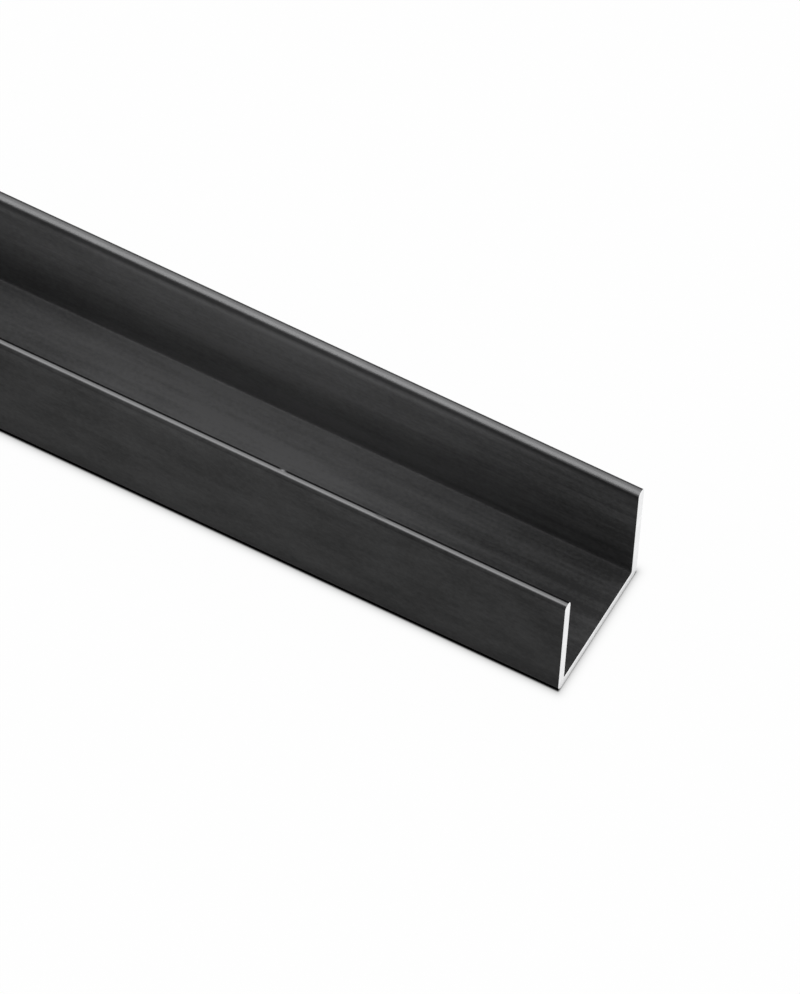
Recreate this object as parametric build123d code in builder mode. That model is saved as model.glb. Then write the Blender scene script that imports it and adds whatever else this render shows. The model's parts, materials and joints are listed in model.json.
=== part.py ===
"""Aluminium U-channel: one length of extruded stock, sawn square at both ends.

It lies on its web with the open side up. X runs along the length, Y across the web and Z up, and
the origin is at the middle of the underside. All lengths are in millimetres.
"""

import os

from build123d import *

# Section of the die
stock_length = 1000.0
web_width = 25.0
flange_height = 22.0
web_thickness = 1.6
flange_thickness = 1.6

# Roundings of the die: outside of each bend, inside of each bend, and both corners of a flange top
heel_radius = 1.2
root_radius = 0.3
tip_radius = 0.7

# A flange top keeps a flat between its two roundings, however thin the wall is
tip_limit_share = 0.45

# The open groove between the flanges
groove_width = web_width - 2 * flange_thickness
groove_depth = flange_height - web_thickness
tip_rounding = min(tip_radius, tip_limit_share * flange_thickness)

os.makedirs("parts", exist_ok=True)

with BuildPart() as u_channel:
    # The section, drawn square across the length: the outer block less its groove
    with BuildSketch(Plane.YZ) as section:
        Rectangle(web_width, flange_height, align=(Align.CENTER, Align.MIN))
        with Locations((0, web_thickness)):
            Rectangle(
                groove_width,
                groove_depth,
                align=(Align.CENTER, Align.MIN),
                mode=Mode.SUBTRACT,
            )
        # Corners by height: flange tops first, then the groove's floor, then the underside
        fillet(section.vertices().group_by(Axis.Y)[-1], radius=tip_rounding)
        fillet(section.vertices().group_by(Axis.Y)[1], radius=root_radius)
        fillet(section.vertices().group_by(Axis.Y)[0], radius=heel_radius)
    # The extruded length, with half of it on either side of the origin
    extrude(amount=stock_length / 2, both=True)

u_channel.part.label = "u_channel"
export_step(u_channel.part, "parts/u_channel.step")
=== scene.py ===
"""Black anodised aluminium U-channel: the dressed length of stock, its finishes and a plain studio.

The file is laid out as an add-on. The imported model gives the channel's box and its wall, and the
property groups hold the rest: the roundings of the die, the finishes, the lights and the camera.
"""

import json
import math

import bpy
import numpy as np
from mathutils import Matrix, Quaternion, Vector


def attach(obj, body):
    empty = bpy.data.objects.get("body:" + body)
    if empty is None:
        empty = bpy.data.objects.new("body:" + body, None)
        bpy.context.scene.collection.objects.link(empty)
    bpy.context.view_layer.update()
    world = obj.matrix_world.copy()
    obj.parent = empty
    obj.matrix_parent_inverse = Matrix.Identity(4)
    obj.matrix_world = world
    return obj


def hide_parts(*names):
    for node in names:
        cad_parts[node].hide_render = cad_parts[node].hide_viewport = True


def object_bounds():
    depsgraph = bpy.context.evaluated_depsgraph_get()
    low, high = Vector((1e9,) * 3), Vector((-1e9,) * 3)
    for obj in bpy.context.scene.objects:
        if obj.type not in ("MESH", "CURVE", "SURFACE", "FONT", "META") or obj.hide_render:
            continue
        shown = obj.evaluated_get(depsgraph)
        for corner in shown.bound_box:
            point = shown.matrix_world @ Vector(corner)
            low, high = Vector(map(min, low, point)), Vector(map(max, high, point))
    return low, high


bl_info = {
    "name": "U-channel stock",
    "version": (1, 0, 0),
    "blender": (4, 5, 0),
    "location": "3D View > Sidebar > U-channel",
    "description": "Makes a black anodised aluminium U-channel with bare sawn ends, and its studio",
    "category": "Object",
}

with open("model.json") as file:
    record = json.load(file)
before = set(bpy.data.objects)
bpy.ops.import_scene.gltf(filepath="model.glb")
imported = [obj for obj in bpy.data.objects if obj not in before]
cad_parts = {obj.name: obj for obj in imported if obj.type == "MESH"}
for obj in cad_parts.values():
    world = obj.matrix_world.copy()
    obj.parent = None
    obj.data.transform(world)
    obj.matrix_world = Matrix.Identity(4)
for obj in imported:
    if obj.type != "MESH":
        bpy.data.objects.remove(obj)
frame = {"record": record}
cad_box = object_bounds()

CHANNEL_NODE = "u_channel"

MILLIMETRE = 0.001
MICROMETRE = 0.000001


def packed_wall():
    """The web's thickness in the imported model, from its underside to the groove's floor."""
    floors = [m["pos_m"] for m in frame["record"]["mounts"] if m["name"] == "groove_floor"]
    return floors[0][2] - cad_box[0].z


class ChannelShape(bpy.types.PropertyGroup):
    """Sizes of the section and of the sawn ends."""

    wall: bpy.props.FloatProperty(
        name="Wall",
        description="Thickness of the web and of both flanges",
        default=packed_wall(),
        precision=5,
        unit="LENGTH",
    )
    heel_radius: bpy.props.FloatProperty(
        name="Heel radius",
        description="Rounding outside each bend between web and flange",
        default=1.2 * MILLIMETRE,
        precision=5,
        unit="LENGTH",
    )
    root_radius: bpy.props.FloatProperty(
        name="Root radius",
        description="Rounding inside each bend between web and flange",
        default=0.3 * MILLIMETRE,
        precision=5,
        unit="LENGTH",
    )
    tip_radius: bpy.props.FloatProperty(
        name="Tip radius",
        description="Rounding of both corners of each flange top",
        default=0.7 * MILLIMETRE,
        precision=5,
        unit="LENGTH",
    )
    edge_break: bpy.props.FloatProperty(
        name="Edge break",
        description="Width of the deburred edge round each sawn end",
        default=0.08 * MILLIMETRE,
        precision=5,
        unit="LENGTH",
    )


class AnodisedFinish(bpy.types.PropertyGroup):
    """The black satin skin of the extruded faces."""

    outer_colour: bpy.props.FloatVectorProperty(
        name="Outer colour",
        description="Colour of the skin on the outer faces",
        default=(0.0245, 0.0245, 0.0248),
        subtype="COLOR",
    )
    # The groove's skin is painted paler than the outer skin: painted light, a lit copy of the same
    # black skin
    groove_lit_colour: bpy.props.FloatVectorProperty(
        name="Groove colour",
        description="Colour of the greyer skin inside the groove",
        default=(0.0576, 0.0576, 0.0585),
        subtype="COLOR",
    )
    roughness: bpy.props.FloatProperty(
        name="Roughness",
        description="How far the satin skin spreads a reflection",
        default=0.40,
        subtype="FACTOR",
    )
    shine: bpy.props.FloatProperty(
        name="Shine",
        description="Strength of the skin's reflection",
        default=0.03,
        subtype="FACTOR",
    )
    # Burnished flange tops, partly wear and partly a painted highlight: their colour
    burnish_highlight_colour: bpy.props.FloatVectorProperty(
        name="Burnish colour",
        description="Colour of the flange tops where handling has rubbed the skin thin",
        default=(0.128, 0.128, 0.13),
        subtype="COLOR",
    )
    # How strongly the burnish paints the highlight bands on the flange tops
    burnish: bpy.props.FloatProperty(
        name="Burnish",
        description="How far the metal under the skin shows on the flange tops",
        default=0.92,
        subtype="FACTOR",
    )
    bare_colour: bpy.props.FloatVectorProperty(
        name="Bare colour",
        description="Colour of the metal that a nick has laid bare",
        default=(0.30, 0.30, 0.305),
        subtype="COLOR",
    )
    die_line_depth: bpy.props.FloatProperty(
        name="Die line depth",
        description="Depth of the fine lines that the die draws along the faces",
        default=5 * MICROMETRE,
        precision=6,
        unit="LENGTH",
    )


class SawnFinish(bpy.types.PropertyGroup):
    """The bare metal of the sawn ends."""

    colour: bpy.props.FloatVectorProperty(
        name="Colour",
        description="Colour of the bare aluminium",
        default=(0.95, 0.95, 0.955),
        subtype="COLOR",
    )
    roughness: bpy.props.FloatProperty(
        name="Roughness",
        description="How far the sawn metal spreads a reflection",
        default=0.40,
        subtype="FACTOR",
    )
    mark_depth: bpy.props.FloatProperty(
        name="Saw mark depth",
        description="Depth of the arcs that the blade leaves",
        default=14 * MICROMETRE,
        precision=6,
        unit="LENGTH",
    )
    blade_radius: bpy.props.FloatProperty(
        name="Blade radius",
        description="Radius of the blade that cut the ends",
        default=150 * MILLIMETRE,
        unit="LENGTH",
    )


class StudioLook(bpy.types.PropertyGroup):
    """The camera, the lights and the floor."""

    azimuth: bpy.props.FloatProperty(
        name="Azimuth",
        description="Camera's turn about the vertical, from the front towards the sawn end",
        default=math.radians(24.4049),
        subtype="ANGLE",
    )
    elevation: bpy.props.FloatProperty(
        name="Elevation",
        description="Camera's height above the horizon",
        default=math.radians(55.3325),
        subtype="ANGLE",
    )
    roll: bpy.props.FloatProperty(
        name="Roll",
        description="Camera's turn about its own line of sight",
        default=math.radians(4.4580),
        subtype="ANGLE",
    )
    distance: bpy.props.FloatProperty(
        name="Distance",
        description="Camera's distance from the point that it looks at",
        default=2.9732,
        unit="LENGTH",
    )
    lens: bpy.props.FloatProperty(
        name="Lens",
        description="Focal length in millimetres, long enough to keep parallel edges parallel",
        default=724.35,
    )
    aim: bpy.props.FloatVectorProperty(
        name="Aim",
        description="Point that the camera looks at, from the middle of the sawn end's foot",
        default=(-34.08 * MILLIMETRE, 0.49 * MILLIMETRE, 10.04 * MILLIMETRE),
        subtype="TRANSLATION",
    )
    top_power: bpy.props.FloatProperty(
        name="Top light",
        description="Power in watts of the broad soft box overhead, which draws the flange tops",
        default=62.0,
    )
    front_power: bpy.props.FloatProperty(
        name="Front light",
        description="Power in watts of the low soft box that lights the groove's far wall",
        default=3.8,
    )
    left_power: bpy.props.FloatProperty(
        name="Left light",
        description="Power in watts of the soft box past the -X end, for the groove's floor",
        default=9.0,
    )
    floor_colour: bpy.props.FloatVectorProperty(
        name="Floor colour",
        description="Colour of the pale floor",
        default=(0.40, 0.40, 0.40),
        subtype="COLOR",
    )


# The channel's mesh

ARC_STEPS = 12
ARC_POINTS = ARC_STEPS + 3
HOLD_DISTANCE = 0.06 * MILLIMETRE
EVEN_STATIONS = 101
NICK_STATIONS = 41
NICK_REACH = 3
UV_NAME = "OFBake"
SIDE_SHARE = 0.9
CAP_SHARE = 0.5
CAP_GAP_SHARE = 0.02
SHARP_ANGLE = math.radians(30)

# For each of the section's eight arcs: is it in the groove, and is it on a flange top
ARC_IN_GROOVE = (0, 0, 1, 1, 1, 1, 0, 0)
ARC_ON_TIP = (0, 1, 1, 0, 0, 1, 1, 0)

# Lean in degrees from which the groove's skin shows on a flange top's inner rounding
GROOVE_LEAN = 60.0

# Lean in degrees into the groove from which a flange top is dull and darkened by painted shade, and
# the fade's turn
SHADE_LEAN = 2.0
SHADE_SPREAD = 10.0

# Where each flange top is burnished, placed to paint its highlight band, in degrees: the middle
# lean, the spread behind and before it
BACK_BURNISH_HIGHLIGHT = (46.0, 62.0, 30.0)
FRONT_BURNISH_HIGHLIGHT = (10.0, 15.0, 17.0)

# Nicks in the front flange's top: distance from the sawn end, half length, depth, bareness
NICKS = (
    (48.0 * MILLIMETRE, 0.35 * MILLIMETRE, 0.10 * MILLIMETRE, 0.9),
    (31.5 * MILLIMETRE, 0.80 * MILLIMETRE, 0.12 * MILLIMETRE, 0.2),
)
NICK_WIDTH = 0.28 * MILLIMETRE
NICK_LEAN = math.radians(18)


def section_outline(half_width, height, shape):
    """Points and outward normals of the section, anticlockwise as seen from the +X end.

    Eight quarter arcs, each centre + radius * (cos angle, sin angle), are joined by the straight
    faces. A hold point just past each end of an arc keeps the faces flat when they are shaded
    smooth. The normal is the arc's own radius, turned round at the two roots, which are hollow.
    """
    wall, heel, root, tip = shape.wall, shape.heel_radius, shape.root_radius, shape.tip_radius
    groove = half_width - wall
    # For each arc: y and z of its centre, its radius, its first angle and its turn in degrees
    arcs = np.array(
        [
            (half_width - heel, heel, heel, -90, 90),
            (half_width - tip, height - tip, tip, 0, 90),
            (groove + tip, height - tip, tip, 90, 90),
            (groove - root, wall + root, root, 0, -90),
            (root - groove, wall + root, root, -90, -90),
            (-groove - tip, height - tip, tip, 0, 90),
            (tip - half_width, height - tip, tip, 90, 90),
            (heel - half_width, heel, heel, 180, 90),
        ]
    )
    centre, radius, first, turn = arcs[:, None, :2], arcs[:, 2], arcs[:, 3], arcs[:, 4]
    angle = np.radians(first[:, None] + turn[:, None] * np.linspace(0, 1, ARC_STEPS + 1))
    spoke = np.stack([np.cos(angle), np.sin(angle)], axis=-1)
    normal = np.sign(turn)[:, None, None] * spoke
    along = np.stack([-normal[..., 1], normal[..., 0]], axis=-1)
    point = centre + radius[:, None, None] * spoke
    points = np.concatenate(
        [
            point[:, :1] - HOLD_DISTANCE * along[:, :1],
            point,
            point[:, -1:] + HOLD_DISTANCE * along[:, -1:],
        ],
        axis=1,
    )
    normals = np.concatenate([normal[:, :1], normal, normal[:, -1:]], axis=1)
    return points.reshape(-1, 2), normals.reshape(-1, 2)


def length_stations(low, high, edge_break):
    """Places along the length: the ends, their edge breaks, even steps and fine ones at nicks."""
    even = np.linspace(low + edge_break, high - edge_break, EVEN_STATIONS)
    spread = np.linspace(-NICK_REACH, NICK_REACH, NICK_STATIONS)
    fine = [high - distance + half * spread for distance, half, *_ in NICKS]
    return np.unique(np.concatenate([[low, high], even, *fine]))


def nick_relief(stations, points, high, shape):
    """Offset along the normals, and bareness, at each station and outline point.

    Each nick is a bell, exp(-(distance along / half length)^2 - (distance across / width)^2), on
    the inner rounding of the front flange's top. It is dented by its depth and bared at its middle.
    """
    relief = np.zeros((len(stations), len(points)))
    bareness = np.zeros_like(relief)
    corner = np.array([cad_box[0].y + shape.wall, cad_box[1].z])
    inset = np.array([math.sin(NICK_LEAN) - 1, math.cos(NICK_LEAN) - 1])
    middle = corner + shape.tip_radius * inset
    across = np.linalg.norm(points - middle, axis=1) / NICK_WIDTH
    for distance, half, depth, bare in NICKS:
        along = (stations - (high - distance)) / half
        bell = np.exp(-(along[:, None] ** 2) - across[None, :] ** 2)
        relief -= depth * bell
        bareness += bare * bell
    return relief, bareness


def unrolled_map(stations, points, low, high):
    """UV corners of the side quads and of both caps.

    The sides are unrolled: u is the share of the length, and v the share of the way round the
    outline. The caps and their edge breaks lie side by side above them, drawn flat.
    """
    step = np.linalg.norm(np.roll(points, -1, axis=0) - points, axis=1)
    way = np.concatenate([[0], np.cumsum(step)]) * SIDE_SHARE / step.sum()
    share = (stations - low) / (high - low)
    u = np.stack([share[:-1], share[:-1], share[1:], share[1:]], axis=-1)
    v = np.stack([way[:-1], way[1:], way[1:], way[:-1]], axis=-1)
    rows, columns = len(stations) - 1, len(points)
    sides = np.empty((rows, columns, 4, 2))
    sides[..., 0] = u[:, None, :]
    sides[..., 1] = v[None, :, :]
    flat = (points - points.min(axis=0)) / np.ptp(points, axis=0)
    room = np.array([CAP_SHARE - 2 * CAP_GAP_SHARE, 1 - SIDE_SHARE - 2 * CAP_GAP_SHARE])
    corner = np.array([CAP_GAP_SHARE, SIDE_SHARE + CAP_GAP_SHARE])
    low_cap = corner + flat * room
    high_cap = low_cap + np.array([CAP_SHARE, 0])
    for row, cap in ((0, low_cap), (-1, high_cap)):
        following = np.roll(cap, -1, axis=0)
        sides[row] = np.stack([cap, following, following, cap], axis=1)
    return np.concatenate([sides.reshape(-1, 2), low_cap[::-1], high_cap])


def spread_arcs(values):
    """A value for each outline point, hold points too, from a value for each arc."""
    return np.repeat(values, ARC_POINTS)


def lean_of(normals):
    """How far each normal leans from upright towards the front, in degrees."""
    return np.degrees(np.arctan2(-normals[:, 0], normals[:, 1]))


def groove_share(normals):
    """1 at points inside the groove, fading out over the inner roundings of the flange tops."""
    fade = np.clip((np.abs(lean_of(normals)) - GROOVE_LEAN) / (90 - GROOVE_LEAN), 0, 1)
    return spread_arcs(ARC_IN_GROOVE) * np.where(spread_arcs(ARC_ON_TIP), fade, 1)


def tip_burnish_highlight(points, normals):
    """Burnish of each outline point on a flange top, placed as a painted highlight: exp(-((lean -
    middle) / spread)^4).
    """
    lean = lean_of(normals)
    on_back = points[:, :1] > 0
    middle, behind, before = np.where(on_back, BACK_BURNISH_HIGHLIGHT, FRONT_BURNISH_HIGHLIGHT).T
    spread = np.where(lean < middle, behind, before)
    return spread_arcs(ARC_ON_TIP) * np.exp(-(((lean - middle) / spread) ** 4))


def tip_shade(points, normals):
    """1 on the side of each flange top that leans into the groove, faded in from its middle:
    painted shade.
    """
    inward = np.sign(points[:, 0]) * lean_of(normals)
    share = np.clip((inward - SHADE_LEAN) / SHADE_SPREAD, 0, 1)
    return spread_arcs(ARC_ON_TIP) * share


def set_mask(mesh, name, values):
    """Stores a number for each point of the mesh, for a material to read."""
    mesh.attributes.new(name, "FLOAT", "POINT").data.foreach_set("value", values)


def channel_mesh(shape):
    """The section carried along X: place = (station, outline point + relief * outline normal)."""
    low, high = cad_box[0].x, cad_box[1].x
    half_width, height = cad_box[1].y, cad_box[1].z
    points, normals = section_outline(half_width, height, shape)
    stations = length_stations(low, high, shape.edge_break)
    relief, bareness = nick_relief(stations, points, high, shape)
    relief[[0, -1]] = -shape.edge_break
    rows, columns = len(stations), len(points)
    places = np.empty((rows, columns, 3))
    places[..., 0] = stations[:, None]
    places[..., 1:] = points + relief[..., None] * normals

    ring = np.arange(columns)
    following = np.roll(ring, -1)
    quad = np.stack([ring, following, following + columns, ring + columns], axis=-1)
    quads = (np.arange(rows - 1)[:, None, None] * columns + quad).reshape(-1, 4)
    low_cap = ring[::-1]
    high_cap = ring + (rows - 1) * columns

    mesh = bpy.data.meshes.new("channel_length")
    faces = [*quads.tolist(), low_cap.tolist(), high_cap.tolist()]
    mesh.from_pydata(places.reshape(-1, 3).tolist(), [], faces)
    sawn = np.zeros(len(faces), dtype=np.int32)
    sawn[:columns] = 1
    sawn[-columns - 2:] = 1
    mesh.polygons.foreach_set("material_index", sawn)
    set_mask(mesh, "in_groove", np.tile(groove_share(normals), rows))
    set_mask(mesh, "burnish", np.tile(tip_burnish_highlight(points, normals), rows))
    set_mask(mesh, "bareness", bareness.ravel())
    set_mask(mesh, "tip_shade", np.tile(tip_shade(points, normals), rows))
    mesh.shade_smooth()
    mesh.set_sharp_from_angle(angle=SHARP_ANGLE)
    layer = mesh.uv_layers.new(name=UV_NAME)
    layer.uv.foreach_set("vector", unrolled_map(stations, points, low, high).ravel())
    mesh.validate()
    return mesh


# Shader maths

class Value:
    """A shader socket that Python arithmetic extends with Math nodes."""

    def __init__(self, graph, socket):
        self.graph = graph
        self.socket = socket

    def __add__(self, other):
        return self.graph.math("ADD", self, other)

    def __sub__(self, other):
        return self.graph.math("SUBTRACT", self, other)

    def __rsub__(self, other):
        return self.graph.math("SUBTRACT", other, self)

    def __mul__(self, other):
        return self.graph.math("MULTIPLY", self, other)

    __radd__ = __add__
    __rmul__ = __mul__


class Graph:
    """The empty node tree of a material or a world, and the one way that nodes are added to it."""

    def __init__(self, owner):
        owner.use_nodes = True
        self.tree = owner.node_tree
        self.tree.nodes.clear()

    def add(self, kind, settings=None, sockets=None, out=0):
        """Adds a node, sets its settings, fills or links its sockets and returns one output."""
        node = self.tree.nodes.new(kind)
        for name, setting in (settings or {}).items():
            if name == "stops":
                self.set_stops(node.color_ramp, setting)
            else:
                setattr(node, name, setting)
        for name, value in (sockets or {}).items():
            if isinstance(value, Value):
                self.tree.links.new(value.socket, node.inputs[name])
            else:
                node.inputs[name].default_value = value
        return Value(self, node.outputs[out]) if node.outputs else node

    def math(self, operation, *values):
        return self.add("ShaderNodeMath", {"operation": operation}, dict(enumerate(values)))

    def vector_math(self, operation, *values, out=0):
        settings = {"operation": operation}
        return self.add("ShaderNodeVectorMath", settings, dict(enumerate(values)), out)

    def mask(self, name):
        """A number that the mesh stores for each of its points."""
        return self.add("ShaderNodeAttribute", {"attribute_name": name}, out="Fac")

    @staticmethod
    def set_stops(ramp, stops):
        """Gives a colour ramp its stops, each a place and a grey level."""
        while len(ramp.elements) < len(stops):
            ramp.elements.new(1.0)
        for element, (place, grey) in zip(ramp.elements, stops):
            element.position = place
            element.color = (grey, grey, grey, 1.0)


BLACK = (0.0, 0.0, 0.0, 1.0)
WHITE = (1.0, 1.0, 1.0, 1.0)
NOISE_MEAN = 0.5


def opaque(colour, level=1.0):
    """A colour with its alpha, at a share of its brightness."""
    return (*(level * part for part in colour), 1.0)


def blend_colours(graph, share, first, second):
    """Mix of two colours, each a socket or plain numbers."""
    return graph.add(
        "ShaderNodeMix",
        {"data_type": "RGBA", "clamp_factor": True},
        {0: share, 6: first, 7: second},
        out=2,
    )


def by_place(in_groove, outside, inside):
    """A strength, a number or a socket, that differs between the outer faces and the groove."""
    return outside + (inside - outside) * in_groove


def drawn_noise(graph, scale, detail, roughness=0.6, shift=0.0):
    """Noise on Object coordinates, each axis with its own number of grains in a metre.

    The shift, in grains along X, picks another stretch of the same noise.
    """
    place = graph.add("ShaderNodeTexCoord", out="Object")
    stretched = graph.add(
        "ShaderNodeMapping",
        {"vector_type": "POINT"},
        {"Vector": place, "Location": (shift, 0.0, 0.0), "Scale": scale},
    )
    return graph.add(
        "ShaderNodeTexNoise",
        {"noise_dimensions": "3D"},
        {"Vector": stretched, "Scale": 1.0, "Detail": detail, "Roughness": roughness},
    )


# The skin

# For each noise: grains in a metre along X, Y and Z, and its detail
FINE_LINES = ((16.0, 2200.0, 2200.0), 3.0)
BROAD_LINES = ((26.0, 420.0, 420.0), 2.0)
SKIN_CLOUDS = ((110.0, 220.0, 220.0), 4.0)
SKIN_GRAIN = ((1300.0, 1800.0, 1800.0), 2.0)
TONE_AND_SHADE_DRIFT = ((11.0, 3.0, 3.0), 1.0)
TONE_ROUGHNESS = 0.5

# Stretch of the drift that darkens the skin towards the +X end, most in the groove: painted shade
# there, a random tone elsewhere along the length
SHADE_DRIFT_SHIFT = 52.80

# Share of the fine lines in the die lines, and their bump's strength
FINE_SHARE = 0.3
DIE_LINE_BUMP = 0.6

# How far each noise moves the skin's tone, the drift's painted shade too: on the outer faces, and
# in the groove
LINE_STRENGTH = (0.72, 1.8)
CLOUD_STRENGTH = (1.4, 0.8)
TEXTURE_STRENGTH = (1.0, 0.7)
DRIFT_AND_SHADE_STRENGTH = (0.7, 2.6)
GRAIN_STRENGTH = 0.8

# The skin's level, from its noises and the drift's painted shade, runs from this to one more than
# this
LOWEST_LEVEL = 0.5

# What the side of a flange top under painted shade loses in tone, and what it gains in roughness
SHADE_DARKENING = 0.8
SHADE_ROUGHENING = 0.55

# What the clouds and the lines change in the burnish, a painted highlight, and in the roughness
BURNISH_HIGHLIGHT_CLOUDING = 0.3
LINE_ROUGHENING = 0.14
CLOUD_ROUGHENING = 0.10

# The palest tone that a ramp of tones holds
TONE_LIMIT = 2.0

# Painted light and shade on the skin by its depth in millimetres below the flange tops, in the
# groove and outside: in the groove a dark strip under the tops and a pale line below it, outside a
# pale strip under the tops, and darker low on the groove's wall and at the outer foot
GROOVE_LIGHT_AND_SHADE = (
    (0.0, 0.54),
    (1.15, 0.56),
    (1.75, 1.08),
    (2.15, 1.32),
    (2.6, 1.22),
    (3.3, 0.98),
    (4.0, 1.02),
    (9.5, 1.02),
    (13.5, 0.83),
    (19.3, 0.80),
    (20.4, 1.0),
)
OUTER_LIGHT_AND_SHADE = (
    (0.0, 1.0),
    (0.5, 1.0),
    (0.9, 1.26),
    (1.3, 1.28),
    (2.2, 1.14),
    (4.0, 1.06),
    (8.0, 1.04),
    (12.0, 0.98),
    (17.0, 1.0),
    (19.0, 0.90),
    (20.5, 0.82),
    (22.0, 0.82),
)


def depth_light_and_shade(graph, tones):
    """Painted light and shade: the skin's tone from its depth below the flange tops, between the
    depths that are listed.
    """
    place = graph.add("ShaderNodeTexCoord", out="Object")
    height = graph.add("ShaderNodeSeparateXYZ", None, {"Vector": place}, out="Z")
    last = tones[-1][0]
    share = (cad_box[1].z - height) * (1 / (last * MILLIMETRE))
    stops = [(depth / last, tone / TONE_LIMIT) for depth, tone in tones]
    return TONE_LIMIT * graph.add("ShaderNodeValToRGB", {"stops": stops}, {"Fac": share})


def anodised_material(look):
    """Black dyed satin skin with die lines along it, clouds, painted light and shade by depth and
    along the length, and painted highlights on burnished tops.
    """
    material = bpy.data.materials.new("black_anodised_skin")
    graph = Graph(material)
    in_groove = graph.mask("in_groove")
    burnish = graph.mask("burnish")
    bareness = graph.mask("bareness")
    shade = graph.mask("tip_shade")
    fine_lines = drawn_noise(graph, *FINE_LINES)
    broad_lines = drawn_noise(graph, *BROAD_LINES)
    clouds = drawn_noise(graph, *SKIN_CLOUDS)
    grain = drawn_noise(graph, *SKIN_GRAIN)
    drift_and_shade = drawn_noise(graph, *TONE_AND_SHADE_DRIFT, roughness=TONE_ROUGHNESS, shift=SHADE_DRIFT_SHIFT)
    lines = FINE_SHARE * fine_lines + (1 - FINE_SHARE) * broad_lines - NOISE_MEAN
    clouding = clouds - NOISE_MEAN

    # Die lines show most in the groove, clouds most on the outside
    line_marks = by_place(in_groove, *LINE_STRENGTH) * lines
    cloud_marks = by_place(in_groove, *CLOUD_STRENGTH) * clouding
    texture = line_marks + cloud_marks + GRAIN_STRENGTH * (grain - NOISE_MEAN)
    # The drift paints shade on the skin towards the +X end, most in the groove
    drifting_and_shade = by_place(in_groove, *DRIFT_AND_SHADE_STRENGTH) * (drift_and_shade - NOISE_MEAN)
    paleness = by_place(in_groove, *TEXTURE_STRENGTH) * texture + drifting_and_shade + NOISE_MEAN
    level = LOWEST_LEVEL + graph.add("ShaderNodeClamp", None, {"Value": paleness})
    # Painted light and shade by depth, outside and in the groove
    outer_light_and_shade = depth_light_and_shade(graph, OUTER_LIGHT_AND_SHADE)
    tone = by_place(in_groove, outer_light_and_shade, depth_light_and_shade(graph, GROOVE_LIGHT_AND_SHADE))
    shading = 1.0 - SHADE_DARKENING * shade * (1.0 - in_groove)
    # The groove's paler colour is painted light
    dye_and_groove_light = blend_colours(graph, in_groove, opaque(look.outer_colour), opaque(look.groove_lit_colour))
    skin_colour = graph.add(
        "ShaderNodeVectorMath",
        {"operation": "SCALE"},
        {0: dye_and_groove_light, "Scale": level * tone * shading},
    )

    # The metal shows through on burnished tops, placed to paint their highlight bands, and in nicks
    rubbed_highlight = burnish * (look.burnish + BURNISH_HIGHLIGHT_CLOUDING * clouding)
    worn_and_highlight_colour = blend_colours(graph, rubbed_highlight, skin_colour, opaque(look.burnish_highlight_colour))
    colour = blend_colours(graph, bareness, worn_and_highlight_colour, opaque(look.bare_colour))
    roughening = LINE_ROUGHENING * lines + CLOUD_ROUGHENING * clouding
    dullness = SHADE_ROUGHENING * shade * (1.0 - burnish)
    relief = graph.add(
        "ShaderNodeBump",
        None,
        {"Strength": DIE_LINE_BUMP, "Distance": look.die_line_depth, "Height": lines},
    )
    skin = graph.add(
        "ShaderNodeBsdfPrincipled",
        None,
        {
            "Base Color": colour,
            "Metallic": graph.math("MAXIMUM", rubbed_highlight, bareness),
            "Roughness": look.roughness + roughening + dullness,
            "Specular IOR Level": look.shine,
            "Normal": relief,
        },
    )
    graph.add("ShaderNodeOutputMaterial", None, {"Surface": skin})
    return material


# The sawn ends

SAWN_GRAIN = ((900.0, 900.0, 900.0), 2.0)
SAWN_CLOUDS = ((150.0, 150.0, 150.0), 2.0)

# The saw's arcs: how many lie in a metre, the detail and the roughness of their noise
SAW_ARCS = 2600.0
SAW_ARC_DETAIL = 4.0
SAW_ARC_ROUGHNESS = 0.7
SAW_BUMP = 0.5

# The blade's hub in blade radii across and above the channel's foot
BLADE_HUB = (0.35, 0.94)

# How far the arcs, the grain and the clouds move the metal's tone, from dull to bright
ARC_CONTRAST = 1.2
SAWN_GRAIN_CONTRAST = 0.5
SAWN_CLOUD_CONTRAST = 1.4
DULL_SHARE = 0.84
SAWN_ROUGHENING = 0.18


def sawn_material(look):
    """Bare aluminium with the saw's arcs: noise that follows the distance from the blade's hub."""
    material = bpy.data.materials.new("sawn_aluminium")
    graph = Graph(material)
    place = graph.add("ShaderNodeTexCoord", out="Object")
    hub = (0.0, *(part * look.blade_radius for part in BLADE_HUB))
    reach = graph.vector_math("SUBTRACT", place, hub)
    across = graph.vector_math("MULTIPLY", reach, (0.0, 1.0, 1.0))
    radius = graph.vector_math("LENGTH", across, out="Value")
    arcs = graph.add(
        "ShaderNodeTexNoise",
        {"noise_dimensions": "1D"},
        {
            "W": radius,
            "Scale": SAW_ARCS,
            "Detail": SAW_ARC_DETAIL,
            "Roughness": SAW_ARC_ROUGHNESS,
        },
    )
    graininess = drawn_noise(graph, *SAWN_GRAIN) - NOISE_MEAN
    clouding = drawn_noise(graph, *SAWN_CLOUDS) - NOISE_MEAN
    marks = ARC_CONTRAST * (arcs - NOISE_MEAN) + SAWN_GRAIN_CONTRAST * graininess
    bright = marks + SAWN_CLOUD_CONTRAST * clouding + NOISE_MEAN
    colour = blend_colours(graph, bright, opaque(look.colour, DULL_SHARE), opaque(look.colour))
    relief = graph.add(
        "ShaderNodeBump",
        None,
        {"Strength": SAW_BUMP, "Distance": look.mark_depth, "Height": arcs},
    )
    metal = graph.add(
        "ShaderNodeBsdfPrincipled",
        None,
        {
            "Base Color": colour,
            "Metallic": 1.0,
            "Roughness": look.roughness + SAWN_ROUGHENING * graininess,
            "Normal": relief,
        },
    )
    graph.add("ShaderNodeOutputMaterial", None, {"Surface": metal})
    return material


# The studio

FLOOR_REACH = 30.0
FLOOR_GLOW_SHARE = 0.985
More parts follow.
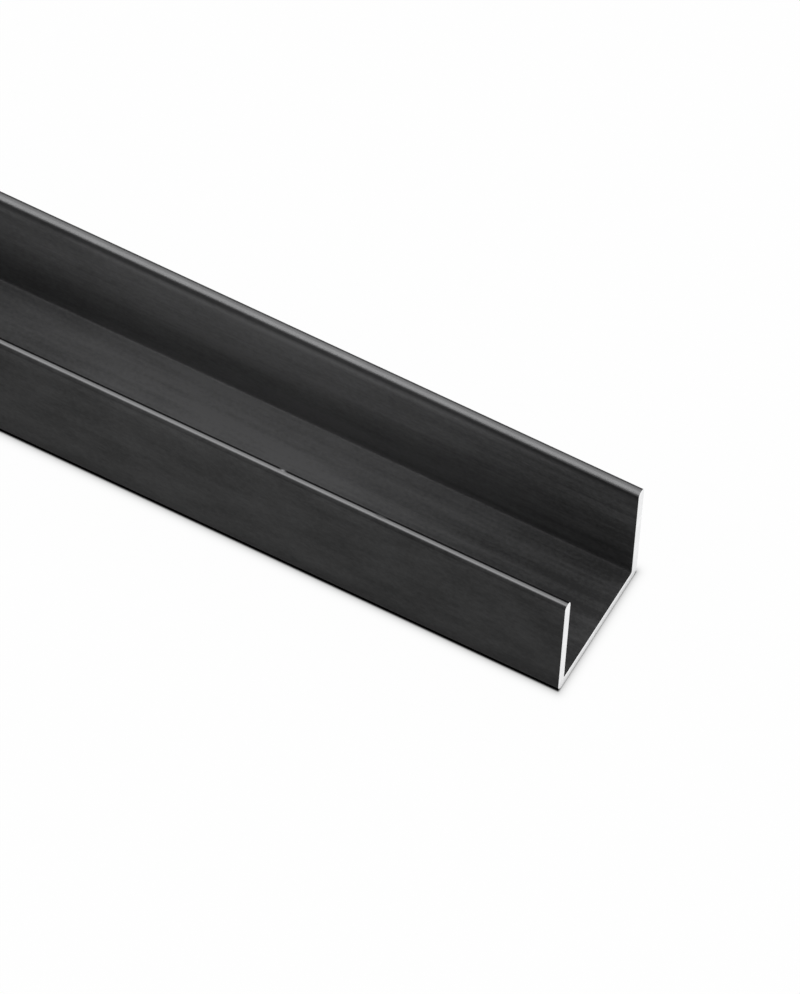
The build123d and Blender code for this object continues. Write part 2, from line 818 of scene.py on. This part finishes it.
# Painted contact shadow under the heels: its inset under the footprint, its width and its darkest
# level
CONTACT_SHADOW_INSET = 0.22 * MILLIMETRE
CONTACT_SHADOW_WIDTH = 0.4 * MILLIMETRE
CONTACT_SHADOW_LEVEL = 0.005
SHADOW_WIDTH = 4.0 * MILLIMETRE
SHADOW_FALL = 6.0
SENSOR_WIDTH = 36.0
CLIP_DISTANCES = 10

# For each soft box: azimuth and elevation in degrees, distance, and its length and height
SOFT_BOXES = {
    "top": (0.0, 89.0, 2.0, 2.6, 4.6),
    "front": (-35.0, 24.0, 1.2, 0.8, 0.5),
    "left": (-90.0, 48.0, 2.0, 2.0, 1.5),
}

# The dome's brightness against a half plus the direction's climb along the dome's axis
DOME_AXIS = (0.3, 0.0, 0.5)
DOME_MIDDLE = 0.5
DOME_STOPS = ((0.44, 0.7), (0.66, 0.7), (0.84, 0.12), (1.0, 0.12))


def direction_to(azimuth, elevation):
    """Unit vector from the object: azimuth 0 is the front, and turns towards +X."""
    return Vector(
        (
            math.sin(azimuth) * math.cos(elevation),
            -math.cos(azimuth) * math.cos(elevation),
            math.sin(elevation),
        )
    )


def aim_point(look):
    """The camera's aim in the shared frame: its offset from the foot of the +X end."""
    return Vector((cad_box[1].x, 0.0, cad_box[0].z)) + Vector(look.aim)


def seen_share(graph):
    """1 for light paths that show a thing itself, 0 for those that only light other things."""
    seen_by = ("Is Camera Ray", "Is Glossy Ray", "Is Transmission Ray")
    camera, glossy, clear = [graph.add("ShaderNodeLightPath", out=name) for name in seen_by]
    return graph.math("MINIMUM", camera + glossy + clear, 1.0)


def floor_material(look):
    """Pale floor that glows to white a little way off the channel, so that its shadow stays close:
    near it the glow fades, a painted shadow over the real shading of its paint.

    With d the distance from the channel's footprint, drawn in a little to lie under its heels, the
    glow's share is open * (1 - (1 - d / shadow width)^fall). The open share rises from nearly 0
    to 1 over the width of the painted contact shadow under the heels, and blackens the paint there
    too. Light that only spreads over other things sees plain paint, and from below the floor is
    clear.
    """
    material = bpy.data.materials.new("pale_floor")
    graph = Graph(material)
    place = graph.add("ShaderNodeTexCoord", out="Object")
    size = graph.vector_math("ABSOLUTE", place)
    corner = (cad_box[1].x - CONTACT_SHADOW_INSET, cad_box[1].y - CONTACT_SHADOW_INSET, 0.0)
    past = graph.vector_math("SUBTRACT", size, corner)
    beyond = graph.vector_math("MAXIMUM", past, (0.0, 0.0, 0.0))
    distance = graph.vector_math("LENGTH", beyond, out="Value")
    near = graph.add(
        "ShaderNodeMapRange",
        None,
        {"Value": distance, "From Max": SHADOW_WIDTH, "To Min": 1.0, "To Max": 0.0},
    )
    past_contact_shadow = graph.add(
        "ShaderNodeMapRange",
        {"interpolation_type": "SMOOTHSTEP"},
        {"Value": distance, "From Max": CONTACT_SHADOW_WIDTH, "To Min": CONTACT_SHADOW_LEVEL},
    )
    shadow = graph.math("POWER", near, SHADOW_FALL)
    glow = FLOOR_GLOW_SHARE * past_contact_shadow * (1.0 - shadow)
    shade = blend_colours(graph, past_contact_shadow, BLACK, opaque(look.floor_colour))
    paint = graph.add("ShaderNodeBsdfDiffuse", None, {"Color": shade})
    white = graph.add("ShaderNodeEmission", None, {"Strength": 1.0})
    lit = graph.add("ShaderNodeMixShader", None, {0: glow * seen_share(graph), 1: paint, 2: white})
    nothing = graph.add("ShaderNodeBsdfTransparent")
    under = graph.add("ShaderNodeNewGeometry", out="Backfacing")
    surface = graph.add("ShaderNodeMixShader", None, {0: under, 1: lit, 2: nothing})
    graph.add("ShaderNodeOutputMaterial", None, {"Surface": surface})
    return material


def make_floor(look):
    """A flat square sheet that the channel lies on."""
    corner = np.array([(-1, -1, 0), (1, -1, 0), (1, 1, 0), (-1, 1, 0)], dtype=float)
    mesh = bpy.data.meshes.new("floor")
    mesh.from_pydata((corner * FLOOR_REACH).tolist(), [], [(0, 1, 2, 3)])
    mesh.materials.append(floor_material(look))
    floor = bpy.data.objects.new("floor", mesh)
    bpy.context.scene.collection.objects.link(floor)


def make_dome():
    """The world: white where it is seen or mirrored, and a dim dome of light, palest at -X."""
    world = bpy.data.worlds.new("studio_dome")
    graph = Graph(world)
    way = graph.add("ShaderNodeTexCoord", out="Object")
    climb = graph.vector_math("DOT_PRODUCT", way, DOME_AXIS, out="Value")
    level = graph.add("ShaderNodeValToRGB", {"stops": DOME_STOPS}, {"Fac": DOME_MIDDLE + climb})
    tone = blend_colours(graph, seen_share(graph), level, WHITE)
    sky = graph.add("ShaderNodeBackground", None, {"Color": tone, "Strength": 1.0})
    graph.add("ShaderNodeOutputWorld", None, {"Surface": sky})
    bpy.context.scene.world = world


def make_soft_box(name, centre, power):
    """A lamp that faces the centre from its own direction, with its long side level."""
    azimuth, elevation, reach, length, height = SOFT_BOXES[name]
    way = direction_to(math.radians(azimuth), math.radians(elevation))
    lamp = bpy.data.lights.new(f"{name}_box", "AREA")
    lamp.shape = "RECTANGLE"
    lamp.size = length
    lamp.size_y = height
    lamp.energy = power
    holder = bpy.data.objects.new(f"{name}_box", lamp)
    holder.location = centre + way * reach
    holder.rotation_euler = way.to_track_quat("Z", "Y").to_euler()
    holder.visible_camera = False
    bpy.context.scene.collection.objects.link(holder)


def make_camera(look):
    """A long lens that looks at the aim point, turned about its line of sight by the roll."""
    way = direction_to(look.azimuth, look.elevation)
    data = bpy.data.cameras.new("camera")
    data.sensor_width = SENSOR_WIDTH
    data.lens = look.lens
    data.clip_end = CLIP_DISTANCES * look.distance
    camera = bpy.data.objects.new("camera", data)
    camera.location = aim_point(look) + way * look.distance
    turn = way.to_track_quat("Z", "Y") @ Quaternion((0.0, 0.0, 1.0), look.roll)
    camera.rotation_euler = turn.to_euler()
    bpy.context.scene.collection.objects.link(camera)
    bpy.context.scene.camera = camera


# Operators, panel and registration

class CHANNEL_OT_make_channel(bpy.types.Operator):
    """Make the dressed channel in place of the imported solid"""

    bl_idname = "channel.make_channel"
    bl_label = "Make the channel"

    def execute(self, context):
        scene = context.scene
        mesh = channel_mesh(scene.channel_shape)
        mesh.materials.append(anodised_material(scene.channel_anodised))
        mesh.materials.append(sawn_material(scene.channel_sawn))
        piece = bpy.data.objects.new("channel_length", mesh)
        scene.collection.objects.link(piece)
        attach(piece, "root")
        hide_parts(CHANNEL_NODE)
        return {"FINISHED"}


class CHANNEL_OT_set_studio(bpy.types.Operator):
    """Set the floor, the lights and the camera"""

    bl_idname = "channel.set_studio"
    bl_label = "Set the studio"

    def execute(self, context):
        look = context.scene.channel_studio
        context.scene.view_settings.view_transform = "Standard"
        make_floor(look)
        make_dome()
        make_soft_box("top", aim_point(look), look.top_power)
        make_soft_box("front", aim_point(look), look.front_power)
        make_soft_box("left", aim_point(look), look.left_power)
        make_camera(look)
        return {"FINISHED"}


class CHANNEL_PT_tools(bpy.types.Panel):
    """Lists the steps and their settings"""

    bl_idname = "CHANNEL_PT_tools"
    bl_label = "U-channel stock"
    bl_space_type = "VIEW_3D"
    bl_region_type = "UI"
    bl_category = "U-channel"

    def draw(self, context):
        for operator, groups in STEPS:
            self.layout.operator(operator)
            for group in groups:
                settings = getattr(context.scene, group)
                for name in type(settings).__annotations__:
                    self.layout.prop(settings, name)


STEPS = (
    ("channel.make_channel", ("channel_shape", "channel_anodised", "channel_sawn")),
    ("channel.set_studio", ("channel_studio",)),
)
GROUPS = {
    "channel_shape": ChannelShape,
    "channel_anodised": AnodisedFinish,
    "channel_sawn": SawnFinish,
    "channel_studio": StudioLook,
}
CLASSES = (*GROUPS.values(), CHANNEL_OT_make_channel, CHANNEL_OT_set_studio, CHANNEL_PT_tools)


def register():
    for one in CLASSES:
        bpy.utils.register_class(one)
    for name, group in GROUPS.items():
        setattr(bpy.types.Scene, name, bpy.props.PointerProperty(type=group))


def unregister():
    for name in GROUPS:
        delattr(bpy.types.Scene, name)
    for one in reversed(CLASSES):
        bpy.utils.unregister_class(one)


def main():
    register()
    bpy.ops.channel.make_channel()
    bpy.ops.channel.set_studio()


if __name__ == "__main__":
    main()
